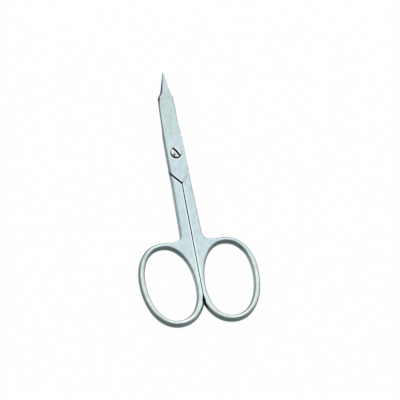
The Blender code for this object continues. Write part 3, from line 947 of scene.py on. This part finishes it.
def painted_wall_shade(tree, along):
    """The painted shade of the side walls, which changes from the bows up to the tower point."""
    low, high = WALL_SHADES[0][0], WALL_SHADES[-1][0]
    share = add_node(tree, "ShaderNodeMapRange",
                     inputs={"Value": along, "From Min": low, "From Max": high}).outputs[0]
    ramp = add_node(tree, "ShaderNodeValToRGB", inputs={"Fac": share})
    stops = ramp.color_ramp.elements
    while len(stops) < len(WALL_SHADES):
        stops.new(1)
    for stop, (y, tone) in zip(stops, WALL_SHADES):
        stop.position = (y - low) / (high - low)
        stop.color = tone
    return ramp.outputs[0]


def lit_wall_share(tree, where, off_bows):
    """Painted light on the bows' walls: how far a wall inside a finger hole faces along X towards its
    middle.
    """
    normal = add_node(tree, "ShaderNodeTexCoord").outputs["Normal"]
    facing = add_node(tree, "ShaderNodeSeparateXYZ", inputs={"Vector": normal}).outputs["X"]
    inwards = add_node(tree, "ShaderNodeMath", {"operation": "SUBTRACT"},
                       {0: bow_centre.x, 1: where["outwards"]}).outputs[0]
    # 1 or -1, the way along X from this side of the bow to the middle of its hole.
    to_hole = add_node(tree, "ShaderNodeMath", {"operation": "SIGN"},
                       {0: all_of(tree, [inwards, where["X"]])}).outputs[0]
    # 1 where the wall faces along X towards the middle of its hole: painted light.
    lit_side = share_between(tree, all_of(tree, [to_hole, facing]), *LIT_WALL_LEVELS)
    on_bows = add_node(tree, "ShaderNodeMath", {"operation": "SUBTRACT"}, {0: 1, 1: off_bows}).outputs[0]
    return all_of(tree, [lit_side, on_bows])


print("stops along the walls:", len(WALL_SHADES))

# %% [markdown]
# ## Painted shade in the slits
# Wherever the two halves meet in a slit, a dark tone is painted as painted shade. It fills the slanting
# shoulder gap, and where the gap ends it spreads over the side wall as a painted shadow and reaches
# along it, further with depth. It is light along the middle of the seam, and dark in the crevice between
# the bows. On the other side of the axis the same slanting line ends the grinding of the joint, and
# shows as a faint line of painted shade. The shade could be painted on an image, but a tone that is
# worked out from the distance to the slit needs no image and follows the sizes of the drawing.

# %% Painted shade in the shoulder gap
# Painted shade: the dark tone laid in the slits and the crevice, and on the screw's slot and head wall.
PAINTED_SHADE_TONE = linear("#222e2e")
SHADE_SPREAD = 0.1 * MILLIMETRE
SHADE_WALL_SPREAD = 0.15 * MILLIMETRE
SHADE_BELOW_FACE = 0.2 * MILLIMETRE
SHADE_RUNS_BELOW = 0.45 * MILLIMETRE
SHADE_SLOPE = 0.7
DARK_LINE_OFFSET = 0.45 * MILLIMETRE
DARK_LINE_HALF_WIDTH = 0.13 * MILLIMETRE
DARK_LINE_DARKNESS = 0.35


def band_share(tree, value, middle, half_width, softness):
    """1 within half_width of the middle value, falling to 0 beyond it over the softness."""
    apart = add_node(tree, "ShaderNodeMath", {"operation": "SUBTRACT"}, {0: value, 1: middle}).outputs[0]
    apart = add_node(tree, "ShaderNodeMath", {"operation": "ABSOLUTE"}, {0: apart}).outputs[0]
    return share_between(tree, apart, half_width + softness, half_width)


def shadow_run(tree, where):
    """How far the painted shadow on the side wall reaches along the scissors, more with its depth."""
    side = add_node(tree, "ShaderNodeMath", {"operation": "SIGN"}, {0: where["X"]}).outputs[0]
    depth = add_node(tree, "ShaderNodeMath", {"operation": "MULTIPLY_ADD"},
                     {0: side, 1: where["Z"], 2: MID_HEIGHT}).outputs[0]
    furthest = SHADE_SLOPE * (BAR_THICKNESS - SHADE_RUNS_BELOW) * math.cos(SHOULDER_ANGLE)
    return add_node(tree, "ShaderNodeMapRange", inputs={
        "Value": depth, "From Min": SHADE_RUNS_BELOW, "From Max": BAR_THICKNESS,
        "To Min": SHADE_WALL_SPREAD, "To Max": furthest}).outputs[0]


def gap_shade(tree, where, distance):
    """Painted shade inside the shoulder gap, and a wider painted shadow on the wall where the gap ends.
    """
    edge_begins = SHOULDER_HALF_WIDTH - SHANK_ROUND
    on_wall = share_between(tree, where["outwards"], edge_begins - SHOULDER_ROUND, edge_begins)
    run = all_of(tree, [shadow_run(tree, where), on_wall])
    shifted = add_node(tree, "ShaderNodeMath", {"operation": "SUBTRACT"}, {0: distance, 1: run}).outputs[0]
    in_gap = band_share(tree, shifted, 0, SHOULDER_GAP / 2, SHADE_SPREAD)
    on_side = band_share(tree, shifted, 0, SHOULDER_GAP / 2 + SHADE_WALL_SPREAD, SHADE_SPREAD)
    darkened = most_of(tree, [in_gap, all_of(tree, [on_side, on_wall])])
    inside = band_share(tree, where["Z"], 0, MID_HEIGHT - SHADE_BELOW_FACE, SHADE_BELOW_FACE)
    return all_of(tree, [darkened, inside])


def dark_line_shade(tree, where, distance):
    """Faint line of painted shade along the end of the joint's grinding, on the side where the steel
    runs on.
    """
    on_dark_line = band_share(tree, distance, DARK_LINE_OFFSET, 0, DARK_LINE_HALF_WIDTH)
    return all_of(tree, [on_dark_line, where["steel_side"], DARK_LINE_DARKNESS])


# Painted shade fills the shoulder gap over this width.
print("gap filled with oil, width in mm:", in_mm(SHOULDER_GAP))

# %% Painted shade along the seam
# Painted shade along the seam: how far it reaches out, and where it is dark and where light.
SEAM_SHADE_REACH = 1.1 * MILLIMETRE
DARK_SHADE_ENDS_Y = -41.5 * MILLIMETRE
DARK_SHADE_FADE = 7 * MILLIMETRE
LIGHT_SHADE_Y = -24 * MILLIMETRE
LIGHT_SHADE_HALF_LENGTH = 4 * MILLIMETRE
LIGHT_SHADE_FADE = 7 * MILLIMETRE
LIGHT_SHADE_SHARE = 0.6


def seam_shade(tree, where, ground):
    """Painted shade on the walls that face each other, dark in the crevice of the bows, light up the
    seam.
    """
    near_seam = band_share(tree, where["X"], 0, SEAM_GAP_AT_JOINT / 2, SEAM_SHADE_REACH)
    on_wall = add_node(tree, "ShaderNodeMath", {"operation": "SUBTRACT"}, {0: 1, 1: ground}).outputs[0]
    # thick and thin are the dark and the light parts of the painted shade.
    thick = share_between(tree, where["Y"], DARK_SHADE_ENDS_Y, DARK_SHADE_ENDS_Y - DARK_SHADE_FADE)
    thin = band_share(tree, where["Y"], LIGHT_SHADE_Y, LIGHT_SHADE_HALF_LENGTH, LIGHT_SHADE_FADE)
    darkened = most_of(tree, [thick, all_of(tree, [thin, LIGHT_SHADE_SHARE])])
    return all_of(tree, [near_seam, on_wall, darkened])


def slit_shade_share(tree, where, distance, ground):
    """The share of painted shade: 1 in the shoulder gap and the crevice, less along the seam and the
    faint line, 0 elsewhere.
    """
    return most_of(tree, [gap_shade(tree, where, distance), dark_line_shade(tree, where, distance),
                          seam_shade(tree, where, ground)])


# Place where the dark part of the seam's painted shade begins.
print("thick oil begins at mm from the pivot:", in_mm(DARK_SHADE_ENDS_Y))

# %% [markdown]
# ## Painted edge highlights
# Where a thin edge stands beside a slit, a pale tone is painted on it as a painted highlight. It shows
# as a pale line on both sides of the seam and of the shoulder gap, and round the screw's seat on the
# side of the lower half's bow. A bevel and a pointiness mask could find such edges by themselves, but
# they also find the ones that stay dull, so the distance to each of the three slits is used here. The
# real edges are about 0.1 mm wide, and the highlights are drawn wider so that they show at 3 pixels to
# the millimetre.

# %% Painted edge highlights
# Painted highlight: the pale tone laid on the edges beside the slits.
EDGE_HIGHLIGHT_TONE = linear("#eafafb")
EDGE_HIGHLIGHT_WIDTH = 0.25 * MILLIMETRE
EDGE_HIGHLIGHT_SETBACK = 0.13 * MILLIMETRE
EDGE_HIGHLIGHT_SHARE = 0.95


def beside_slit(tree, value, slit_edge):
    """1 on the narrow strip that borders a slit, for the distance where the slit ends."""
    half_strip = EDGE_HIGHLIGHT_WIDTH / 2
    middle = slit_edge + EDGE_HIGHLIGHT_SETBACK + half_strip
    return band_share(tree, value, middle, half_strip, EDGE_HIGHLIGHT_SETBACK)


def seat_rim(tree, where):
    """The edge round the screw's seat, on top and on the side of the lower half's bow."""
    in_plan = {"X": where["X"], "Y": where["Y"]}
    flat_place = add_node(tree, "ShaderNodeCombineXYZ", inputs=in_plan).outputs[0]
    radius = add_node(tree, "ShaderNodeVectorMath", {"operation": "LENGTH"}, {0: flat_place})
    above = add_node(tree, "ShaderNodeMath", {"operation": "GREATER_THAN"}, {0: where["Z"], 1: 0})
    sideways = add_node(tree, "ShaderNodeMath", {"operation": "ADD"}, {0: where["X"], 1: where["Y"]})
    bow_side = share_between(tree, sideways.outputs[0], SEAT_RADIUS, -SEAT_RADIUS)
    return all_of(tree, [beside_slit(tree, radius.outputs["Value"], SEAT_RADIUS), above.outputs[0],
                         bow_side])


def edge_highlight_share(tree, where, distance):
    """How much painted highlight the edges at the seam, the shoulder gap and the screw's seat get."""
    from_line, height = [
        add_node(tree, "ShaderNodeMath", {"operation": "ABSOLUTE"}, {0: value}).outputs[0]
        for value in (distance, where["Z"])]
    below_line = add_node(tree, "ShaderNodeMath", {"operation": "LESS_THAN"}, {0: distance, 1: 0})
    seam = all_of(tree, [beside_slit(tree, where["outwards"], SEAM_GAP_AT_JOINT / 2),
                         below_line.outputs[0]])
    shoulder = all_of(tree, [beside_slit(tree, from_line, SHOULDER_GAP / 2), where["slit_side"]])
    at_face = share_between(tree, height, MID_HEIGHT - SHOULDER_ROUND, MID_HEIGHT - SHOULDER_ROUND / 2)
    edges = most_of(tree, [seam, shoulder, seat_rim(tree, where)])
    return all_of(tree, [edges, at_face, EDGE_HIGHLIGHT_SHARE])


# Width of the painted edge highlights.
print("rubbed edges are drawn wide in mm:", in_mm(EDGE_HIGHLIGHT_WIDTH))

# %% [markdown]
# ## Put the satin steel together
# The colours are laid from the bottom up: the painted shade of the walls with the painted light on the
# finger holes' walls, the ground flats, the cloudiness over both, the painted edge highlights, and the
# painted shade of the slits on top. Layers could be shaders of their own, but the steel is bare all over
# and the painted shade only darkens it. So one metal shader takes the layered colour, with satin flats
# and duller walls in its roughness.

# %% Satin-ground stainless steel
SATIN_ROUGHNESS = 0.3
TUMBLED_ROUGHNESS = 0.45
ROUGHNESS_SWING = 0.12


def bare_metal(tree, color, roughness, relief, depth):
    """Close a material as bare metal with a fine relief of the given depth."""
    bump = add_node(tree, "ShaderNodeBump", inputs={"Height": relief, "Distance": depth}).outputs[0]
    steel = add_node(tree, "ShaderNodeBsdfPrincipled", inputs={
        "Metallic": 1, "Base Color": color, "Roughness": roughness, "Normal": bump})
    add_node(tree, "ShaderNodeOutputMaterial", inputs={"Surface": steel.outputs[0]})


def satin_roughness(tree, ground, grain):
    """Dull on the tumbled walls, satin on the flats, and a little uneven with the grain."""
    dullness = add_node(tree, "ShaderNodeMapRange", inputs={
        "Value": ground, "To Min": TUMBLED_ROUGHNESS - ROUGHNESS_SWING / 2,
        "To Max": SATIN_ROUGHNESS - ROUGHNESS_SWING / 2}).outputs[0]
    return add_node(tree, "ShaderNodeMath", {"operation": "MULTIPLY_ADD"},
                    {0: grain, 1: ROUGHNESS_SWING, 2: dullness}).outputs[0]


def satin_ground_steel():
    """Stainless steel with ground flats, painted shade and light on the walls, painted shade in the
    slits and painted highlights on the edges.
    """
    material, tree = new_material("satin_ground_stainless_steel")
    place = add_node(tree, "ShaderNodeTexCoord").outputs["Object"]
    where = measured_from_joint(tree, place)
    distance = shoulder_distance(tree, where)
    off_bows = share_between(tree, where["Y"], BOWS_BEGIN_Y - BOWS_BEGIN_RUN, BOWS_BEGIN_Y)
    # How much a surface faces up: it sets the walls' painted shade and their duller roughness.
    ground = facing_up_share(tree, off_bows)
    grain = belt_grain(tree, place)
    # Painted shade on the walls, with painted light on the finger holes' walls, under the flats' tone.
    tone = layered(tree, painted_wall_shade(tree, where["Y"]), [
        (PAINTED_LIT_WALL_TONE, lit_wall_share(tree, where, off_bows)),
        (ground_tone(tree, place, where), ground)])
    # Painted edge highlights, then painted shade in the slits, over the clouded tone.
    color = layered(tree, clouded(tree, tone, place, grain), [
        (EDGE_HIGHLIGHT_TONE, edge_highlight_share(tree, where, distance)),
        (PAINTED_SHADE_TONE, slit_shade_share(tree, where, distance, ground))])
    bare_metal(tree, color, satin_roughness(tree, ground, grain), grain, GRAIN_DEPTH)
    return material


satin_steel = satin_ground_steel()
for half in (upper_half, lower_half):
    half.data.materials.append(satin_steel)
print("nodes in the satin steel:", len(satin_steel.node_tree.nodes))

# %% [markdown]
# ## Polished screw steel
# The screw is turned from bright bar and polished, so it is the lightest thing on the scissors. Its slot
# and the wall of its head are painted dark, as painted shade. Turning leaves rings around the axis. Real
# ones are 0.05 mm apart, and here they are drawn six times coarser so that they can show. They could be
# cut into the mesh, but at this size a bump looks the same. A dark spot on the head's side towards -X
# and -Y is a painted reflection; the polished tone lies around it, and further away the head turns to
# the bluish tone of the joint.

# %% Polished screw steel
POLISHED_TONE = linear("#ecf0ef")
# Painted reflection on the head: a dark spot, with the polished tone around it and this bluish tone
# further away.
AWAY_FROM_SPOT_TONE = linear("#c6d8dd")
PAINTED_REFLECTION_TONE = linear("#343938")
POLISHED_ROUGHNESS = 0.2
RING_ROUGHNESS_SWING = 0.08
POLISHED_LEVELS = (0.3, 0.6)
# Painted shade: below this height the screw gets the dark tone, on its head wall and in its slot.
SHADED_BELOW = PLATE_TOP + HEAD_RISE - HEAD_CROWN - HEAD_EDGE_ROUND
LATHE_FEED = 0.05 * MILLIMETRE
RING_SPACING = 6 * LATHE_FEED
RING_DEPTH = 0.002 * MILLIMETRE
# Middle and size of the painted dark reflection on the head.
DARK_SPOT_PLACE = pivot + Vector((-1.0 * MILLIMETRE, -1.0 * MILLIMETRE, PLATE_TOP + HEAD_RISE - pivot.z))
DARK_SPOT_SIZE = 1.0 * MILLIMETRE
# At a scale of 1 the rings of the Wave Texture repeat after this length.
WAVE_PERIOD = math.pi / 10


def turned_rings(tree, place):
    """Rings round the screw's axis, from 0 to 1."""
    centred = add_node(tree, "ShaderNodeMapping",
                       inputs={"Vector": place, "Location": -pivot}).outputs[0]
    return add_node(tree, "ShaderNodeTexWave", {"wave_type": "RINGS", "rings_direction": "Z"},
                    {"Vector": centred, "Scale": WAVE_PERIOD / RING_SPACING}).outputs["Fac"]


def polished_screw_steel():
    """Turned and polished steel, with painted shade in the slot and on the wall round the head, and a
    painted dark reflection on the head.
    """
    material, tree = new_material("polished_screw_steel")
    place = add_node(tree, "ShaderNodeTexCoord").outputs["Object"]
    height = add_node(tree, "ShaderNodeSeparateXYZ", inputs={"Vector": place}).outputs["Z"]
    raised = share_between(tree, height, SHADED_BELOW, SHADED_BELOW + HEAD_EDGE_ROUND)
    # Painted shade everywhere but the raised, level top of the head.
    unshaded = all_of(tree, [raised, flat_share(tree, POLISHED_LEVELS)])
    from_dark_spot = add_node(tree, "ShaderNodeVectorMath", {"operation": "DISTANCE"},
                        {0: place, 1: DARK_SPOT_PLACE}).outputs["Value"]
    # Painted reflection: polished near the dark spot, bluish further away, and dark on the spot itself.
    away_from_spot = share_between(tree, from_dark_spot, DARK_SPOT_SIZE, HEAD_DIAMETER)
    dark_spot = share_between(tree, from_dark_spot, DARK_SPOT_SIZE, 0)
    top_tone = layered(tree, POLISHED_TONE, [(AWAY_FROM_SPOT_TONE, away_from_spot), (PAINTED_REFLECTION_TONE, dark_spot)])
    color = layered(tree, PAINTED_SHADE_TONE, [(top_tone, unshaded)])
    rings = turned_rings(tree, place)
    roughness = add_node(tree, "ShaderNodeMapRange", {"clamp": False}, {
        "Value": rings, "To Min": POLISHED_ROUGHNESS - RING_ROUGHNESS_SWING / 2,
        "To Max": POLISHED_ROUGHNESS + RING_ROUGHNESS_SWING / 2}).outputs[0]
    bare_metal(tree, color, roughness, rings, RING_DEPTH)
    return material


pivot_screw.data.materials.append(polished_screw_steel())
# Height below which the screw carries painted shade.
print("screw is dark below a height in mm of", in_mm(SHADED_BELOW))

# %% [markdown]
# ## Floor, sky and lamp
# The floor is a white table that the picture shows as plain white. A Light Path switch lets the
# camera, and the steel, see it as a white of strength 1, and a share of plain white paint stays
# underneath so that it still takes the object's shadow. The sky is a dome that is bright on the side
# of the blade tips, as from a window, and dim behind the bows, because polished edges need something
# darker to mirror. Below the horizon it is as white as the table. A panorama of a real room would do
# the same, but two levels and a direction are easier to tune. One large soft lamp, low on the bright
# side, lights the rounded crowns of the bows.

# %% Floor
FLOOR_SIZE = 4.0
FLOOR_CELLS = 4
FLOOR_GLOW_SHARE = 0.97
TABLE_TONE = linear("#f8f8f8")
WHITE = linear("#ffffff")


def white_table_paint():
    """White that is shown at full strength, over paint that takes shadows."""
    material, tree = new_material("white_table_paint")
    path = add_node(tree, "ShaderNodeLightPath").outputs
    seen = most_of(tree, [path["Is Camera Ray"], path["Is Glossy Ray"], path["Is Transmission Ray"]])
    paint = add_node(tree, "ShaderNodeBsdfDiffuse", inputs={"Color": TABLE_TONE}).outputs[0]
    glow = add_node(tree, "ShaderNodeEmission", inputs={"Color": WHITE, "Strength": 1}).outputs[0]
    surface = add_node(tree, "ShaderNodeMixShader", inputs={
        0: all_of(tree, [seen, FLOOR_GLOW_SHARE]), 1: paint, 2: glow}).outputs[0]
    add_node(tree, "ShaderNodeOutputMaterial", inputs={"Surface": surface})
    return material


def white_table():
    """Floor that shows as white and keeps a soft shadow."""
    mesh_data = bmesh.new()
    bmesh.ops.create_grid(mesh_data, x_segments=FLOOR_CELLS, y_segments=FLOOR_CELLS, size=FLOOR_SIZE / 2)
    mesh = bpy.data.meshes.new("white_table")
    mesh_data.to_mesh(mesh)
    mesh_data.free()
    mesh.materials.append(white_table_paint())
    table = bpy.data.objects.new("white_table", mesh)
    bpy.context.scene.collection.objects.link(table)
    return table


white_table()
print("table side in metres:", FLOOR_SIZE)

# %% Sky and lamp
BRIGHT_SKY = 0.98
DIM_SKY = 0.15
SKY_SIDE = math.radians(90)
SKY_TILT = math.radians(50)
SKY_DIM_BELOW = -0.25
SKY_BRIGHT_ABOVE = 0.3
LAMP_SIDE = math.radians(85)
LAMP_TILT = math.radians(70)
LAMP_DISTANCE = 0.8
LAMP_SIZE = 0.5
LAMP_WATTS = 0.9


def soft_sky():
    """Dome of light, bright on the side of the blade tips, dim behind the bows, white below."""
    world = bpy.data.worlds.new("soft_sky")
    world.use_nodes = True
    tree = world.node_tree
    tree.nodes.clear()
    direction = add_node(tree, "ShaderNodeTexCoord").outputs["Generated"]
    nearness = add_node(tree, "ShaderNodeVectorMath", {"operation": "DOT_PRODUCT"},
                        {0: direction, 1: towards(SKY_SIDE, SKY_TILT)}).outputs["Value"]
    sky = add_node(tree, "ShaderNodeMapRange", {"interpolation_type": "SMOOTHSTEP"}, {
        "Value": nearness, "From Min": SKY_DIM_BELOW, "From Max": SKY_BRIGHT_ABOVE,
        "To Min": DIM_SKY, "To Max": BRIGHT_SKY}).outputs[0]
    height = add_node(tree, "ShaderNodeSeparateXYZ", inputs={"Vector": direction}).outputs["Z"]
    below = add_node(tree, "ShaderNodeMath", {"operation": "LESS_THAN"}, {0: height, 1: 0}).outputs[0]
    background = add_node(tree, "ShaderNodeBackground", inputs={
        "Color": WHITE, "Strength": most_of(tree, [sky, below])}).outputs[0]
    add_node(tree, "ShaderNodeOutputWorld", inputs={"Surface": background})
    bpy.context.scene.world = world


def soft_lamp():
    """Large square lamp, low on the side of the blade tips and aimed at the pivot."""
    back = towards(LAMP_SIDE, LAMP_TILT)
    data = bpy.data.lights.new("soft_lamp", "AREA")
    data.size = LAMP_SIZE
    data.energy = LAMP_WATTS
    lamp = bpy.data.objects.new("soft_lamp", data)
    lamp.location = pivot + back * LAMP_DISTANCE
    lamp.rotation_euler = back.to_track_quat("Z", "Y").to_euler()
    bpy.context.scene.collection.objects.link(lamp)


soft_sky()
soft_lamp()
bpy.context.scene.view_settings.view_transform = "Standard"
print("sky strength from dim to bright side:", DIM_SKY, BRIGHT_SKY)
